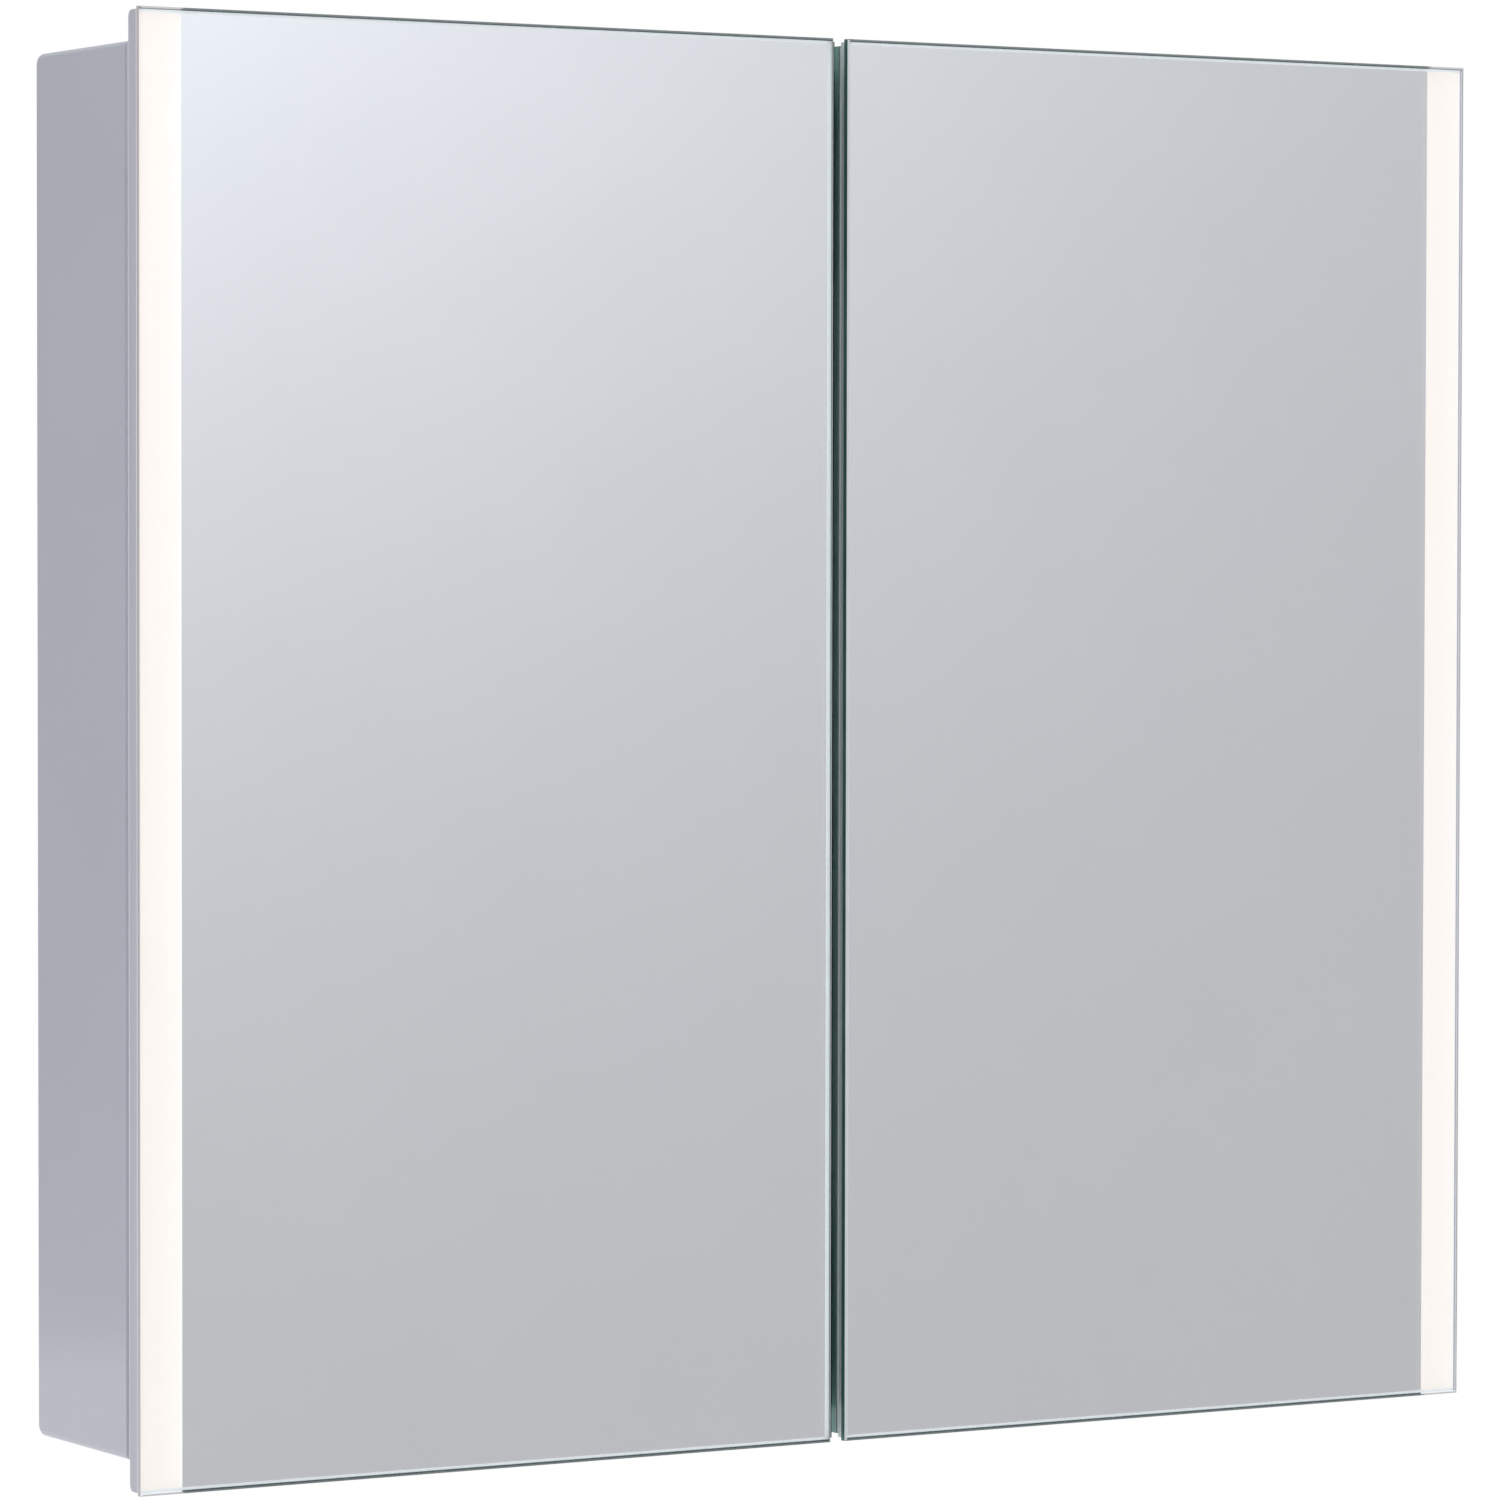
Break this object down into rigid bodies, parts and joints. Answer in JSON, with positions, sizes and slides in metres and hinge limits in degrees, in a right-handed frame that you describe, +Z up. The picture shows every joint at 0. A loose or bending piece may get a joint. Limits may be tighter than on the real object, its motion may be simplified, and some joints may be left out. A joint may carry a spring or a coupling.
{
  "type": "mirror cabinet",
  "caption": "Wall-hung bathroom mirror cabinet: two hinged double-sided mirror doors with frosted light strips down their outer edges, over a shallow shelved carcass.",
  "frame": {"origin": "centre of the four wall-fixing holes, on the cabinet's back plane", "axes": "+X to the right of a person facing the cabinet, +Y into the wall, +Z up; the mirrors face -Y"},
  "size_m": [0.8, 0.124, 0.73],
  "materials": {
    "lacquered_board": "light grey lacquer, satin gloss, no visible grain",
    "clear_glass": "clear float glass, polished chamfer",
    "rear_mirror_glass": "mirror glass",
    "shelf_glass": "clear toughened glass",
    "silvering": "silvering with safety film",
    "light_strip": "frosted opal, lit",
    "door_frame": "light grey coated extrusion",
    "door_core_board": "matt board",
    "circuit_strip": "white solder mask",
    "nylon": "natural nylon",
    "clear_bumper": "clear silicone",
    "black_rubber": "matt",
    "bright_steel": "bright zinc plate",
    "rail_steel": "galvanised",
    "service_cover_paint": "light grey coated sheet",
    "driver_case": "matt",
    "terminal_plastic": "matt",
    "sensor_lens": "dark infra-red window"
  },
  "bodies": {
    "carcass": {"back_mirror": "rear_mirror_glass", "back_panel": "lacquered_board", "bottom_panel": "lacquered_board", "cam_fittings": "bright_steel", "catch_magnets": "bright_steel", "cover_brackets": "rail_steel", "cover_lead_grommets": "black_rubber", "cover_screws": "bright_steel", "hanging_rail": "rail_steel", "led_driver": "driver_case", "left_hinge_plugs": "nylon", "left_hinge_screws": "bright_steel", "left_hinge_socket": "door_frame", "left_side_panel": "lacquered_board", "lower_fixing_rail": "rail_steel", "lower_shelf": "shelf_glass", "mains_grommet": "black_rubber", "rail_screws": "bright_steel", "right_hinge_plugs": "nylon", "right_hinge_screws": "bright_steel", "right_hinge_socket": "door_frame", "right_side_panel": "lacquered_board", "sensor_switch": "sensor_lens", "service_cover": "service_cover_paint", "shelf_pins": "bright_steel", "terminal_block": "terminal_plastic", "top_panel": "lacquered_board", "upper_shelf": "shelf_glass"},
    "left_door": {"left_catch_strikes": "bright_steel", "left_door_bottom_rail": "door_frame", "left_door_bumpers": "clear_bumper", "left_door_core": "door_core_board", "left_door_top_rail": "door_frame", "left_front_glass": "clear_glass", "left_front_silvering": "silvering", "left_inner_stile": "door_frame", "left_lead_grommet": "black_rubber", "left_led_board": "circuit_strip", "left_light_guide": "light_strip", "left_outer_stile": "door_frame", "left_rear_glass": "rear_mirror_glass", "left_rear_silvering": "silvering"},
    "right_door": {"right_catch_strikes": "bright_steel", "right_door_bottom_rail": "door_frame", "right_door_bumpers": "clear_bumper", "right_door_core": "door_core_board", "right_door_top_rail": "door_frame", "right_front_glass": "clear_glass", "right_front_silvering": "silvering", "right_inner_stile": "door_frame", "right_lead_grommet": "black_rubber", "right_led_board": "circuit_strip", "right_light_guide": "light_strip", "right_outer_stile": "door_frame", "right_rear_glass": "rear_mirror_glass", "right_rear_silvering": "silvering"}
  },
  "joints": [
    {"name": "left_door_hinge", "type": "hinge", "parent": "carcass", "child": "left_door", "pos_m": [-0.3978, -0.10925, 0], "axis": [0, 0, -1], "range_deg": [0, 105]},
    {"name": "right_door_hinge", "type": "hinge", "parent": "carcass", "child": "right_door", "pos_m": [0.3978, -0.10925, 0], "axis": [0, 0, 1], "range_deg": [0, 105]}
  ]
}
